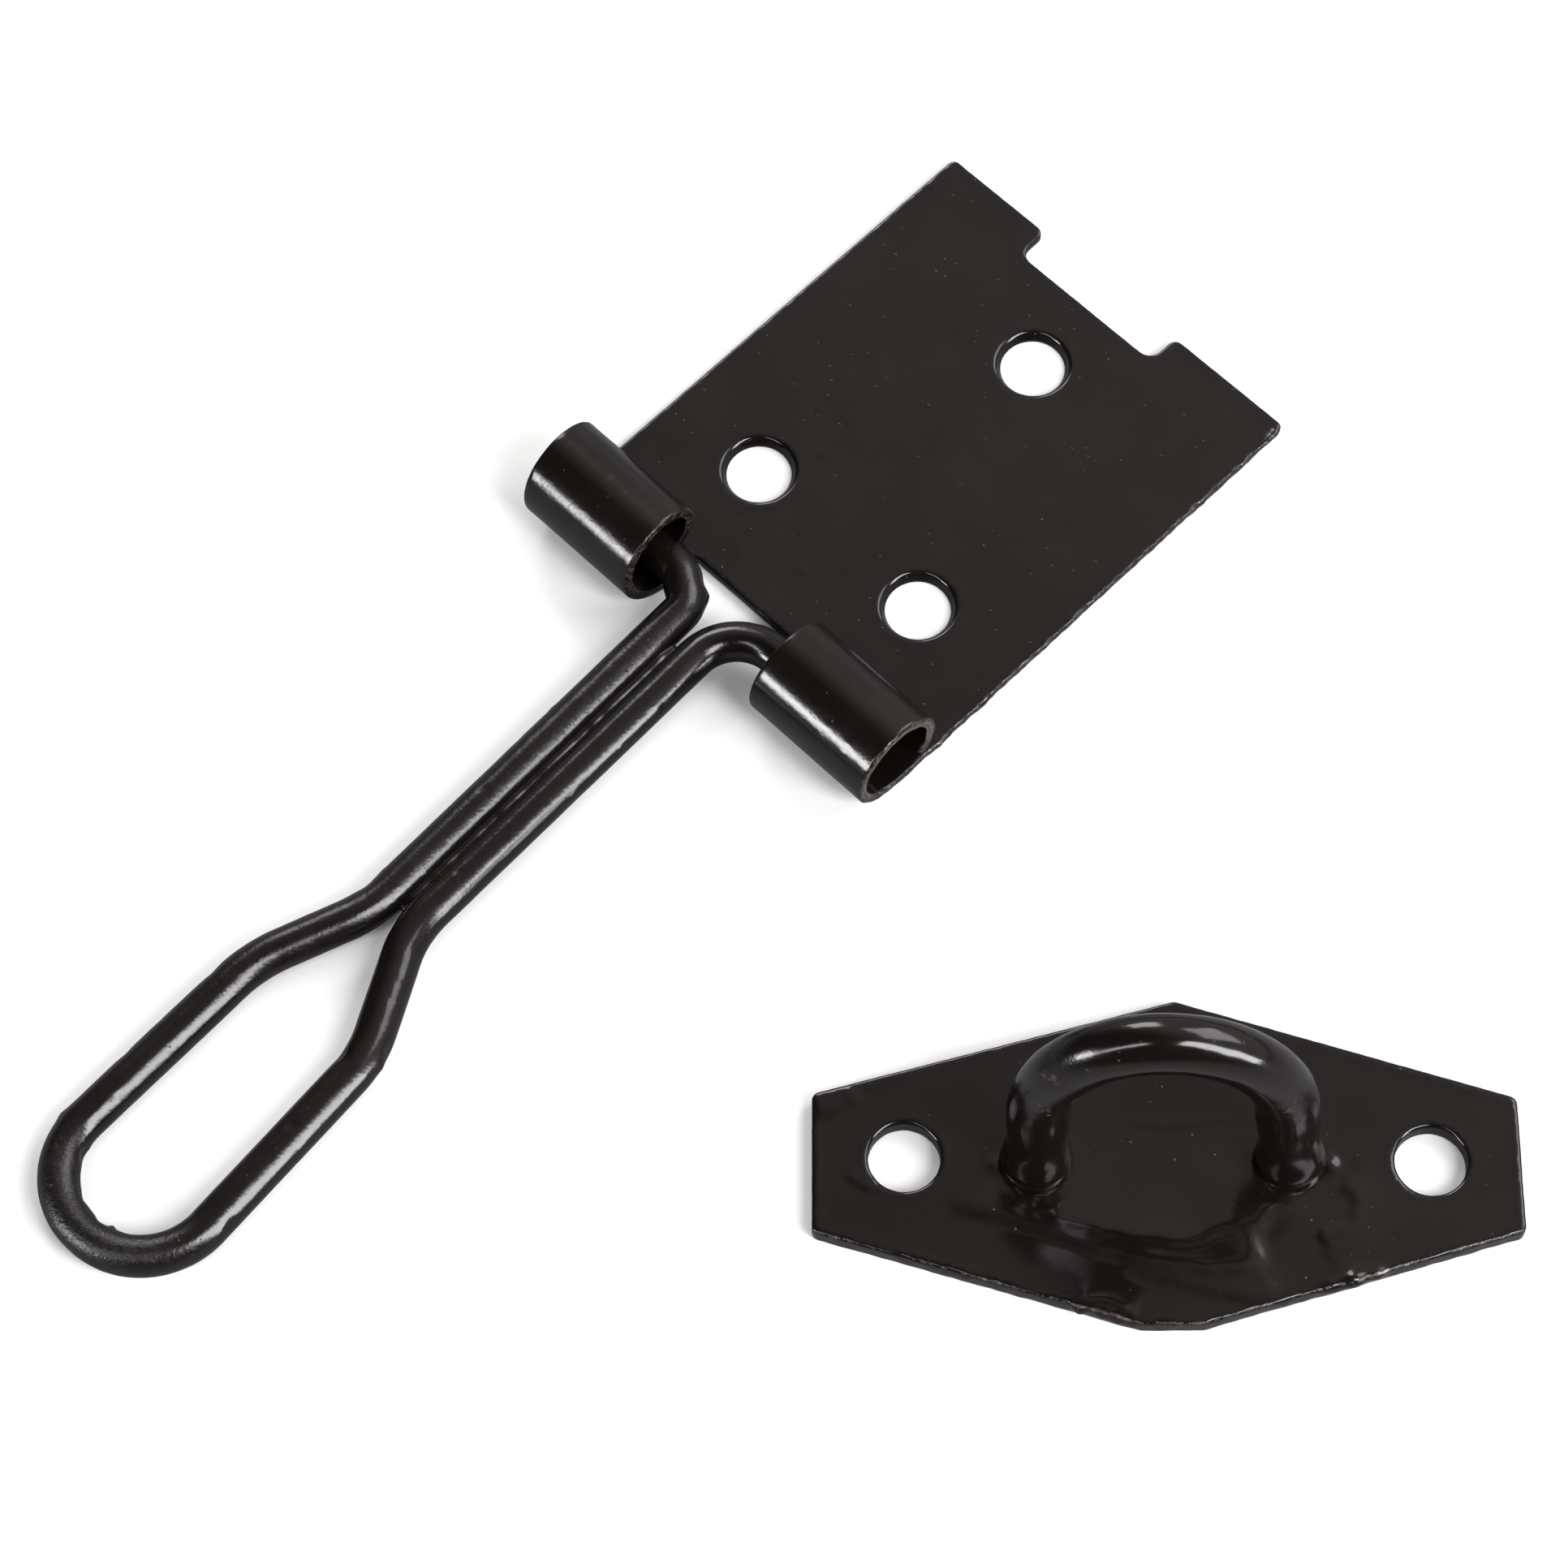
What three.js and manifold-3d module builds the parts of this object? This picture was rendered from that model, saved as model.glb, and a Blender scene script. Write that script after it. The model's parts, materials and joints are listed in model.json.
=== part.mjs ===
// Wire hasp and staple: a rolled-knuckle hinge plate, a bent wire hasp that
// swings on its own turned-out ends, and a staple loop riveted to its plate.
//
// Millimetres. +Z points out of the surface that both plates are screwed to,
// the hinge line runs along Y and the hasp reaches towards -X. The origin is
// the middle of the hinge plate's back face.

import * as THREE from 'three';
import { mergeVertices } from 'three/addons/utils/BufferGeometryUtils.js';
import Module from 'manifold-3d';

// ---------------------------------------------------------------------------
// Driving dimensions
// ---------------------------------------------------------------------------

// Hinge plate
const LEAF_WIDTH = 45;
const LEAF_REACH = 54.6; // from the knuckles' axis to the far edge
const LEAF_THICKNESS = 1.1;
const LEAF_CORNER = 0.7;
const NOTCH = { depth: 3.6, low: -8.0, high: 9.8, corner: 1.4 };
const LEAF_HOLE_RADIUS = 3.7;
const LEAF_HOLES = { nearReach: 14.9, nearOffset: 10.85, farReach: 42.5 };
const KNUCKLE_RADIUS = 5.15;
const KNUCKLE_GAP = { low: -7.8, high: 8.9, setback: 3.7 };
const KNUCKLE_ENDS = { low: -22.5, high: 23.1 }; // the high one was rolled a little askew
const KNUCKLE_FREE_END = THREE.MathUtils.degToRad(-45); // stops just above the leaf

// Hasp wire, laid out as reach from its pin axis and as Y
const WIRE_RADIUS = 1.95;
const PIN_OFFSET = { x: 0.6, z: -1.75 }; // the pins lie low in the knuckles
const PIN_END = { low: -18.5, high: 19.5 };
const ELBOW = { low: -0.2, lowRadius: 5.4, high: 3.92, highRadius: 3.4 };
const NECK = { lowReach: 44.1, low: -1.6, highReach: 45.1, high: 2.57, radius: 7 };
const SHOULDER = { lowReach: 55.6, low: -8.05, highReach: 56.35, high: 6.6, radius: 6 };
const LOOP_END = { reach: 85.2, low: -10.5, high: 5.75, radius: 7.7 };

// Staple plate, with its long axis along its own X: a sheared six-sided blank
// whose lower point is cut off
const STAPLE_CORNERS = [
  [2.8, -15.6],
  [32.2, -6.8],
  [32.2, 6.2],
  [1.2, 15.85],
  [-32.2, 6.7],
  [-32.2, -6.8],
  [-2.8, -15.6],
];
const STAPLE_THICKNESS = 2.0;
const STAPLE_CORNER = 0.8;
const STAPLE_HOLES = { radius: 3.3, left: [-23.8, 0.4], right: [24.0, 0] };
const STAPLE_PLACE = { x: -38.15, y: -67.1, turn: THREE.MathUtils.degToRad(-45.4) };

// Staple loop, a U of thicker wire standing on the plate. Its legs draw in a
// little up to the shoulders, where a half ellipse closes them, and the whole
// loop leans along the plate.
const LOOP_RADIUS = 2.7;
const LOOP_FOOT_SPACING = 23.1;
const LOOP_OFFSET = { x: -0.35, y: 0.2 };
const CROWN = { halfWidth: 11.0, shoulder: 13.7, top: 28.7 }; // wire centre, above the back face
const LOOP_LEAN = -0.055; // sideways per height above the plate
const RIVET = { radius: 3.6, neck: 2.5, flush: 0.1, depth: 0.9 };

const RIVET_GAP = 0.3; // between the legs and their holes in the plate

// Facets
const HOLE_FACETS = 32;
const CORNER_FACETS = 3;
const KNUCKLE_FACETS = 40;
const WIRE_FACETS = 14;
const LOOP_FACETS = 18;
const BEND_STEP = THREE.MathUtils.degToRad(12);

const QUARTER_TURN = Math.PI / 2;
const KNUCKLE_X = -LEAF_REACH / 2;
const BORE_RADIUS = KNUCKLE_RADIUS - LEAF_THICKNESS;

// ---------------------------------------------------------------------------
// Solids
// ---------------------------------------------------------------------------

const wasm = await Module();
wasm.setup();

function solidOf(geometry) {
  const bare = geometry.clone();
  bare.deleteAttribute('normal');
  bare.deleteAttribute('uv');
  const closed = mergeVertices(bare, 1e-3);
  const mesh = new wasm.Mesh({
    numProp: 3,
    vertProperties: new Float32Array(closed.attributes.position.array),
    triVerts: new Uint32Array(closed.index.array),
  });
  return new wasm.Manifold(mesh);
}

function geometryOf(solid) {
  const mesh = solid.getMesh();
  const geometry = new THREE.BufferGeometry();
  geometry.setAttribute('position', new THREE.BufferAttribute(mesh.vertProperties, 3));
  geometry.setIndex(new THREE.BufferAttribute(mesh.triVerts, 1));
  geometry.computeVertexNormals();
  return geometry;
}

// ---------------------------------------------------------------------------
// Plate outlines
// ---------------------------------------------------------------------------

// A closed outline through [x, y, radius] corners, each rounded by its radius.
function roundedOutline(corners) {
  const places = corners.map(([x, y]) => new THREE.Vector2(x, y));
  const points = corners.flatMap(([, , radius], i) => {
    const corner = places[i];
    const before = places[(i + places.length - 1) % places.length];
    const after = places[(i + 1) % places.length];
    const toBefore = before.clone().sub(corner).normalize();
    const toAfter = after.clone().sub(corner).normalize();
    const halfAngle = Math.acos(THREE.MathUtils.clamp(toBefore.dot(toAfter), -1, 1)) / 2;
    const inset = radius / Math.tan(halfAngle);
    const entry = corner.clone().addScaledVector(toBefore, inset);
    const exit = corner.clone().addScaledVector(toAfter, inset);
    const rounding = new THREE.QuadraticBezierCurve(entry, corner, exit);
    return radius > 0 ? rounding.getPoints(CORNER_FACETS) : [corner];
  });
  return new THREE.Shape(points);
}

function roundHole(x, y, radius) {
  const hole = new THREE.EllipseCurve(x, y, radius, radius, 0, 2 * Math.PI, true);
  return new THREE.Path(hole.getPoints(HOLE_FACETS));
}

function flatPlate(outline, thickness) {
  return new THREE.ExtrudeGeometry(outline, { depth: thickness, bevelEnabled: false });
}

// ---------------------------------------------------------------------------
// Bent wire
// ---------------------------------------------------------------------------

// A circular arc of wire from one straight into the next.
class Bend extends THREE.Curve {
  constructor(centre, toStart, toEnd) {
    super();
    this.centre = centre;
    this.toStart = toStart;
    this.turn = toStart.angleTo(toEnd);
    this.axis = new THREE.Vector3().crossVectors(toStart, toEnd).normalize();
  }

  getPoint(t, target = new THREE.Vector3()) {
    return target.copy(this.toStart).applyAxisAngle(this.axis, this.turn * t).add(this.centre);
  }
}

// The half ellipse that closes the top of a U, from its -X leg to its +X leg.
// It shifts along X as it rises, by lean.
class Crown extends THREE.Curve {
  constructor(halfWidth, rise, lean) {
    super();
    this.halfWidth = halfWidth;
    this.rise = rise;
    this.lean = lean;
  }

  getPoint(t, target = new THREE.Vector3()) {
    const height = this.rise * Math.sin(Math.PI * t);
    return target.set(this.lean * height - this.halfWidth * Math.cos(Math.PI * t), 0, height);
  }
}

// A run of wire made of stretches. Each stretch takes its own number of steps,
// so the bends are fine and the straights stay plain.
class WirePath extends THREE.Curve {
  constructor() {
    super();
    this.stretches = [];
    this.steps = 0;
  }

  add(curve, steps, offset = new THREE.Vector3()) {
    this.stretches.push({ curve, steps, offset });
    this.steps += steps;
  }

  getPoint(t, target = new THREE.Vector3()) {
    let remaining = THREE.MathUtils.clamp(t, 0, 1) * this.steps;
    let found = this.stretches.find(({ steps }) => {
      const here = remaining <= steps;
      if (!here) remaining -= steps;
      return here;
    });
    if (!found) {
      found = this.stretches[this.stretches.length - 1];
      remaining = found.steps;
    }
    return found.curve.getPoint(remaining / found.steps, target).add(found.offset);
  }

  getUtoTmapping(u) {
    return u;
  }
}

// A wire bent at its corners: straights joined by arcs.
function bentWire(start, corners, end) {
  const path = new WirePath();
  let from = start;
  corners.forEach(({ point, radius }, i) => {
    const next = i + 1 < corners.length ? corners[i + 1].point : end;
    const back = from.clone().sub(point).normalize();
    const ahead = next.clone().sub(point).normalize();
    const halfAngle = back.angleTo(ahead) / 2;
    const inset = radius / Math.tan(halfAngle);
    const middle = back.clone().add(ahead).normalize();
    const centre = point.clone().addScaledVector(middle, radius / Math.sin(halfAngle));
    const entry = point.clone().addScaledVector(back, inset);
    const exit = point.clone().addScaledVector(ahead, inset);
    const bend = new Bend(centre, entry.clone().sub(centre), exit.clone().sub(centre));
    path.add(new THREE.LineCurve3(from, entry), 1);
    path.add(bend, Math.ceil(bend.turn / BEND_STEP));
    from = exit;
  });
  path.add(new THREE.LineCurve3(from, end), 1);
  return path;
}

function sweepWire(path, radius, facets) {
  const section = new THREE.Shape();
  section.absarc(0, 0, radius, 0, 2 * Math.PI, false);
  const options = { steps: path.steps, extrudePath: path, curveSegments: facets };
  return new THREE.ExtrudeGeometry(section, options);
}

// ---------------------------------------------------------------------------
// Hinge plate
// ---------------------------------------------------------------------------

function leafGeometry() {
  const side = LEAF_WIDTH / 2;
  const farEdge = LEAF_REACH / 2;
  const notchFloor = farEdge - NOTCH.depth;
  const gapEdge = KNUCKLE_X + KNUCKLE_GAP.setback;
  const outline = roundedOutline([
    [KNUCKLE_X, -side, 0],
    [farEdge, -side, LEAF_CORNER],
    [farEdge, NOTCH.low, NOTCH.corner],
    [notchFloor, NOTCH.low, NOTCH.corner],
    [notchFloor, NOTCH.high, NOTCH.corner],
    [farEdge, NOTCH.high, NOTCH.corner],
    [farEdge, side, LEAF_CORNER],
    [KNUCKLE_X, side, 0],
    [KNUCKLE_X, KNUCKLE_GAP.high, 0],
    [gapEdge, KNUCKLE_GAP.high, LEAF_CORNER],
    [gapEdge, KNUCKLE_GAP.low, LEAF_CORNER],
    [KNUCKLE_X, KNUCKLE_GAP.low, 0],
  ]);
  const near = KNUCKLE_X + LEAF_HOLES.nearReach;
  const far = KNUCKLE_X + LEAF_HOLES.farReach;
  outline.holes.push(
    roundHole(near, LEAF_HOLES.nearOffset, LEAF_HOLE_RADIUS),
    roundHole(near, -LEAF_HOLES.nearOffset, LEAF_HOLE_RADIUS),
    roundHole(far, 0, LEAF_HOLE_RADIUS),
  );
  return flatPlate(outline, LEAF_THICKNESS);
}

// One tongue of the leaf rolled up and over, seen along the hinge line. It
// starts inside the leaf, so that the two join into one sheet.
function knuckleGeometry(low, high) {
  const rootOverlap = 2;
  const section = new THREE.Shape();
  section.moveTo(rootOverlap, 0);
  section.absarc(0, KNUCKLE_RADIUS, KNUCKLE_RADIUS, -QUARTER_TURN, KNUCKLE_FREE_END, true);
  section.absarc(0, KNUCKLE_RADIUS, BORE_RADIUS, KNUCKLE_FREE_END, -QUARTER_TURN, false);
  section.lineTo(rootOverlap, LEAF_THICKNESS);
  const options = { depth: high - low, bevelEnabled: false, curveSegments: KNUCKLE_FACETS };
  const geometry = new THREE.ExtrudeGeometry(section, options);
  geometry.rotateX(QUARTER_TURN);
  geometry.translate(KNUCKLE_X, high, 0);
  return geometry;
}

function hingePlateGeometry() {
  const lowKnuckle = solidOf(knuckleGeometry(KNUCKLE_ENDS.low, KNUCKLE_GAP.low));
  const highKnuckle = solidOf(knuckleGeometry(KNUCKLE_GAP.high, KNUCKLE_ENDS.high));
  return geometryOf(solidOf(leafGeometry()).add(lowKnuckle).add(highKnuckle));
}

// ---------------------------------------------------------------------------
// Wire hasp
// ---------------------------------------------------------------------------

// The whole wire lies in one plane through its pins. The group that holds it
// tips that plane down until the far end of the loop rests on the surface.
function haspPath() {
  const at = (reach, y) => new THREE.Vector3(-reach, y, 0);
  const corner = (reach, y, radius) => ({ point: at(reach, y), radius });
  return bentWire(at(0, PIN_END.high), [
    corner(0, ELBOW.high, ELBOW.highRadius),
    corner(NECK.highReach, NECK.high, NECK.radius),
    corner(SHOULDER.highReach, SHOULDER.high, SHOULDER.radius),
    corner(LOOP_END.reach, LOOP_END.high, LOOP_END.radius),
    corner(LOOP_END.reach, LOOP_END.low, LOOP_END.radius),
    corner(SHOULDER.lowReach, SHOULDER.low, SHOULDER.radius),
    corner(NECK.lowReach, NECK.low, NECK.radius),
    corner(0, ELBOW.low, ELBOW.lowRadius),
  ], at(0, PIN_END.low));
}

// ---------------------------------------------------------------------------
// Staple plate and loop
// ---------------------------------------------------------------------------

function legCentres() {
  return [-1, 1].map((side) => LOOP_OFFSET.x + side * LOOP_FOOT_SPACING / 2);
}

// The closed-over end of a leg is a cone, wide at the back of the plate. Its
// countersink is the same cone, larger by the clearance and run out past the
// back face.
function rivetCone(x, clearance, runOut) {
  const { radius, neck, flush, depth } = RIVET;
  const slope = (radius - neck) / depth;
  const wide = radius + clearance + slope * runOut;
  const height = depth + runOut;
  const geometry = new THREE.CylinderGeometry(neck + clearance, wide, height, HOLE_FACETS);
  geometry.rotateX(QUARTER_TURN);
  geometry.translate(x, LOOP_OFFSET.y, flush - runOut + height / 2);
  return solidOf(geometry);
}

function staplePlateGeometry() {
  const outline = roundedOutline(STAPLE_CORNERS.map(([x, y]) => [x, y, STAPLE_CORNER]));
  const { radius, left, right } = STAPLE_HOLES;
  outline.holes.push(roundHole(...left, radius), roundHole(...right, radius));
  for (const x of legCentres()) {
    outline.holes.push(roundHole(x, LOOP_OFFSET.y, LOOP_RADIUS + RIVET_GAP));
  }
  const plate = solidOf(flatPlate(outline, STAPLE_THICKNESS));
  const countersinks = legCentres().map((x) => rivetCone(x, RIVET_GAP, 0.5));
  return geometryOf(plate.subtract(countersinks[0]).subtract(countersinks[1]));
}

function stapleLoopGeometry() {
  const [left, right] = legCentres();
  const at = (x, z) => new THREE.Vector3(x, LOOP_OFFSET.y, z);
  const shoulderX = LOOP_OFFSET.x + LOOP_LEAN * (CROWN.shoulder - STAPLE_THICKNESS);
  const leftShoulder = at(shoulderX - CROWN.halfWidth, CROWN.shoulder);
  const rightShoulder = at(shoulderX + CROWN.halfWidth, CROWN.shoulder);
  const crown = new Crown(CROWN.halfWidth, CROWN.top - CROWN.shoulder, LOOP_LEAN);
  const path = new WirePath();
  path.add(new THREE.LineCurve3(at(left, RIVET.flush), at(left, STAPLE_THICKNESS)), 1);
  path.add(new THREE.LineCurve3(at(left, STAPLE_THICKNESS), leftShoulder), 1);
  path.add(crown, Math.ceil(Math.PI / BEND_STEP), at(shoulderX, CROWN.shoulder));
  path.add(new THREE.LineCurve3(rightShoulder, at(right, STAPLE_THICKNESS)), 1);
  path.add(new THREE.LineCurve3(at(right, STAPLE_THICKNESS), at(right, RIVET.flush)), 1);
  const wire = solidOf(sweepWire(path, LOOP_RADIUS, LOOP_FACETS));
  return geometryOf(wire.add(rivetCone(left, 0, 0)).add(rivetCone(right, 0, 0)));
}

// ---------------------------------------------------------------------------
// Assembly
// ---------------------------------------------------------------------------

const blackEnamel = { color: 0x2a2625, roughness: 0.32, metalness: 0.2 };

function piece(name, geometry) {
  const mesh = new THREE.Mesh(geometry, new THREE.MeshStandardMaterial(blackEnamel));
  mesh.name = name;
  return mesh;
}

const hingePlate = piece('hinge_plate', hingePlateGeometry());

const wireHasp = piece('wire_hasp', sweepWire(haspPath(), WIRE_RADIUS, WIRE_FACETS));
const pinHeight = KNUCKLE_RADIUS + PIN_OFFSET.z;
const hasp = new THREE.Group();
hasp.position.set(KNUCKLE_X + PIN_OFFSET.x, 0, pinHeight);
hasp.rotation.y = -Math.asin((pinHeight - WIRE_RADIUS) / LOOP_END.reach);
hasp.add(wireHasp);

const staple = new THREE.Group();
staple.position.set(STAPLE_PLACE.x, STAPLE_PLACE.y, 0);
staple.rotation.z = STAPLE_PLACE.turn;
staple.add(piece('staple_plate', staplePlateGeometry()));
staple.add(piece('staple_loop', stapleLoopGeometry()));

const object = new THREE.Group();
object.add(hingePlate, hasp, staple);

export default object;
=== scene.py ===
"""Wire hasp and staple: the looks of a black-enamelled gate fastener.

The fastener's lengths are in millimetres until a mesh is made, and X, Y and Z are
the CAD frame's: the hinge line runs along Y, the hasp reaches towards -X, and Z
points out of the surface that both plates lie on. The stage's are in metres.
"""

import json
import math
import random

import bpy
import numpy as np
from mathutils import Matrix, Vector, geometry, kdtree, noise


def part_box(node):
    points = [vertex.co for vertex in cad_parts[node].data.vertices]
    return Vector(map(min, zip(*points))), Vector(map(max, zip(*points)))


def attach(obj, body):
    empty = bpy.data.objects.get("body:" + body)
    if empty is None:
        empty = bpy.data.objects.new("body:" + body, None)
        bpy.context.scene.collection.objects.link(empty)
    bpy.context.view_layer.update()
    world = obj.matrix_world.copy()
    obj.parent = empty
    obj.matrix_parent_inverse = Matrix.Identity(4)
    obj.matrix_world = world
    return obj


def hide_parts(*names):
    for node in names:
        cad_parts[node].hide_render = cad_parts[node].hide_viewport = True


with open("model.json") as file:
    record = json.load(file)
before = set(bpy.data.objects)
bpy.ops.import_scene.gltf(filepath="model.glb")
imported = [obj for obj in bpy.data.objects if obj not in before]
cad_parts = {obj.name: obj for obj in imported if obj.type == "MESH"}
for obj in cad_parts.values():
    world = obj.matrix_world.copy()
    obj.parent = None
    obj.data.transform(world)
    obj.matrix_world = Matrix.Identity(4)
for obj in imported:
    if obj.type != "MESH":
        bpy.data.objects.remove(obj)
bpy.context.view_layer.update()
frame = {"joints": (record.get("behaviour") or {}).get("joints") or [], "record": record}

MM = 0.001
random.seed(11)

# ---------------------------------------------------------------------------
# Where the frame says the parts are
# ---------------------------------------------------------------------------


def box_mm(node):
    low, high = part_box(node)
    return np.array(low) / MM, np.array(high) / MM


plate_low, plate_high = box_mm("hinge_plate")
joints = {joint["name"]: joint for joint in frame["joints"]}
axis_at = np.array(joints["hasp_swing"]["pos_m"]) / MM
mounts = {mount["name"]: mount for mount in frame["record"]["mounts"]}
staple_at = np.array(mounts["staple_plate_front"]["pos_m"]) / MM
leaf_top = mounts["hinge_plate_front"]["pos_m"][2] / MM

# Hinge plate
LEAF_HALF_WIDTH = 22.5
LEAF_CORNER = 0.7
NOTCH = {"depth": 3.6, "low": -8.0, "high": 9.8, "corner": 1.4, "lip": 0.9}
GAP = {"low": -7.8, "high": 8.4, "setback": 3.7, "corner": 0.5}
LEAF_HOLE_RADIUS = 3.7
HOLE_TAPER = 0.6
KNUCKLE_RADIUS = plate_high[2] / 2
KNUCKLE_X = plate_low[0] + KNUCKLE_RADIUS
LEAF_HOLES = [
    (KNUCKLE_X + 14.9, -10.85),
    (KNUCKLE_X + 14.9, 10.85),
    (KNUCKLE_X + 42.5, 0.0),
]
SHEET_MIDDLE = KNUCKLE_RADIUS - leaf_top / 2
STRIP_LENGTH = math.radians(315) * SHEET_MIDDLE
STRIP_SKEW = 0.066

# Hasp wire
WIRE_RADIUS = 1.95
HASP_REACH = 85.2
WIRE_TILT = math.asin((axis_at[2] - WIRE_RADIUS) / HASP_REACH)
HASP_PATH = [
    (0, 19.5, 0),
    (0, 7.3, 2.2),
    (2.0, 4.15, 2.4),
    (45.1, 2.57, 14),
    (56.35, 6.6, 15),
    (HASP_REACH, 5.75, 7.7),
    (HASP_REACH, -10.5, 7.7),
    (55.6, -8.05, 12),
    (44.1, -1.6, 12),
    (0, -0.2, 5.4),
    (0, -18.5, 0),
]

# Staple
STAPLE_TURN = math.radians(-45.4)
STAPLE_THICKNESS = staple_at[2]
STAPLE_CORNERS = [
    (2.8, -15.6),
    (32.2, -6.8),
    (32.2, 6.2),
    (1.2, 15.85),
    (-32.2, 6.7),
    (-32.2, -6.8),
    (-2.8, -15.6),
]
STAPLE_HOLES = [(-23.8, 0.4), (24.0, 0.0)]
STAPLE_HOLE_RADIUS = 3.3
LOOP_OFFSET = (-0.35, 0.2)
LEG_SPACING = 23.1
CROWN = {"half_width": 11.0, "shoulder": 13.7, "top": 28.7}
LOOP_LEAN = -0.055
LOOP_RADII = (2.85, 2.62)
LEG_HOLE_RADIUS = 2.95
RIVET = {"radius": 3.6, "neck": 2.5, "flush": 0.1, "depth": 0.9}


# ---------------------------------------------------------------------------
# Numbers
# ---------------------------------------------------------------------------


def smooth(low, high, x):
    t = np.clip((x - low) / (high - low), 0, 1)
    return t * t * (3 - 2 * t)


def bell(x, width):
    return np.exp(-((x / width) ** 2))


def ripple(points, size, seed):
    """Smooth noise from about -1 to 1, with features about `size` mm across."""
    shift = Vector((seed * 17.31, seed * 5.17, seed * 9.73))
    return np.array([noise.noise(Vector(p) / size + shift) for p in points])


def relief(points, waves):
    """Sums noise given as a height, a size and a seed for each wave."""
    return sum(height * ripple(points, size, seed) for height, size, seed in waves)


def unit(v):
    return v / np.linalg.norm(v)


# ---------------------------------------------------------------------------
# Outlines
# ---------------------------------------------------------------------------

ARC_STEP = 0.05
LEAST_ARC_POINTS = 4


def filleted(corners, closed):
    """A fine line through (x, y, radius) corners, with an arc at each of them."""
    count = len(corners)
    points = []
    for i, (x, y, radius) in enumerate(corners):
        here = np.array((x, y), float)
        if radius == 0 or (not closed and i in (0, count - 1)):
            points.append(here)
            continue
        before = unit(np.array(corners[i - 1][:2]) - here)
        after = unit(np.array(corners[(i + 1) % count][:2]) - here)
        half = math.acos(np.clip(before @ after, -1, 1)) / 2
        centre = here + unit(before + after) * radius / math.sin(half)
        start = here + before * radius / math.tan(half) - centre
        end = here + after * radius / math.tan(half) - centre
        side = np.sign(start[0] * end[1] - start[1] * end[0])
        turn = math.pi - 2 * half
        arc_points = max(LEAST_ARC_POINTS, math.ceil(turn * radius / ARC_STEP))
        for a in np.linspace(0, turn * side, arc_points):
            c, s = math.cos(a), math.sin(a)
            spoke = (c * start[0] - s * start[1], s * start[0] + c * start[1])
            points.append(centre + spoke)
    return np.array(points)


def resampled(line, step, closed=False):
    """The same line as points an equal distance apart, close to `step`."""
    if closed:
        line = np.vstack([line, line[:1]])
    lengths = np.linalg.norm(np.diff(line, axis=0), axis=1)
    along = np.concatenate([[0], np.cumsum(lengths)])
    count = max(3, round(along[-1] / step))
    at = np.linspace(0, along[-1], count + 1)
    if closed:
        at = at[:-1]
    return np.stack([np.interp(at, along, line[:, i]) for i in range(line.shape[1])], 1)


def circle(centre, radius, step):
    """A round hole's edge, clockwise so that the sheet is on its left."""
    count = math.ceil(2 * math.pi * radius / step)
    angles = -np.arange(count) * 2 * math.pi / count
    return np.stack([np.cos(angles), np.sin(angles)], 1) * radius + np.array(centre)


def left_normals(loop):
    along = np.roll(loop, -1, 0) - np.roll(loop, 1, 0)
    along /= np.linalg.norm(along, axis=1)[:, None]
    return np.stack([-along[:, 1], along[:, 0]], 1)


def inside(points, loop):
    x, y = points[:, 0], points[:, 1]
    result = np.zeros(len(points), bool)
    for (ax, ay), (bx, by) in zip(loop, np.roll(loop, -1, 0)):
        if ay == by:
            continue
        crosses = (ay > y) != (by > y)
        result ^= crosses & (x < (bx - ax) * (y - ay) / (by - ay) + ax)
    return result


def nearest(points, targets):
    tree = kdtree.KDTree(len(targets))
    for i, target in enumerate(targets):
        tree.insert((target[0], target[1], 0), i)
    tree.balance()
    return np.array([tree.find((p[0], p[1], 0))[2] for p in points])


# ---------------------------------------------------------------------------
# Meshes
# ---------------------------------------------------------------------------

EDGE_RINGS = 5
WALL_LEVELS = 4
CLEAR_OF_RINGS = 0.14
SAME_POINT = 1e-7
SLIVER = 1e-5


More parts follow.
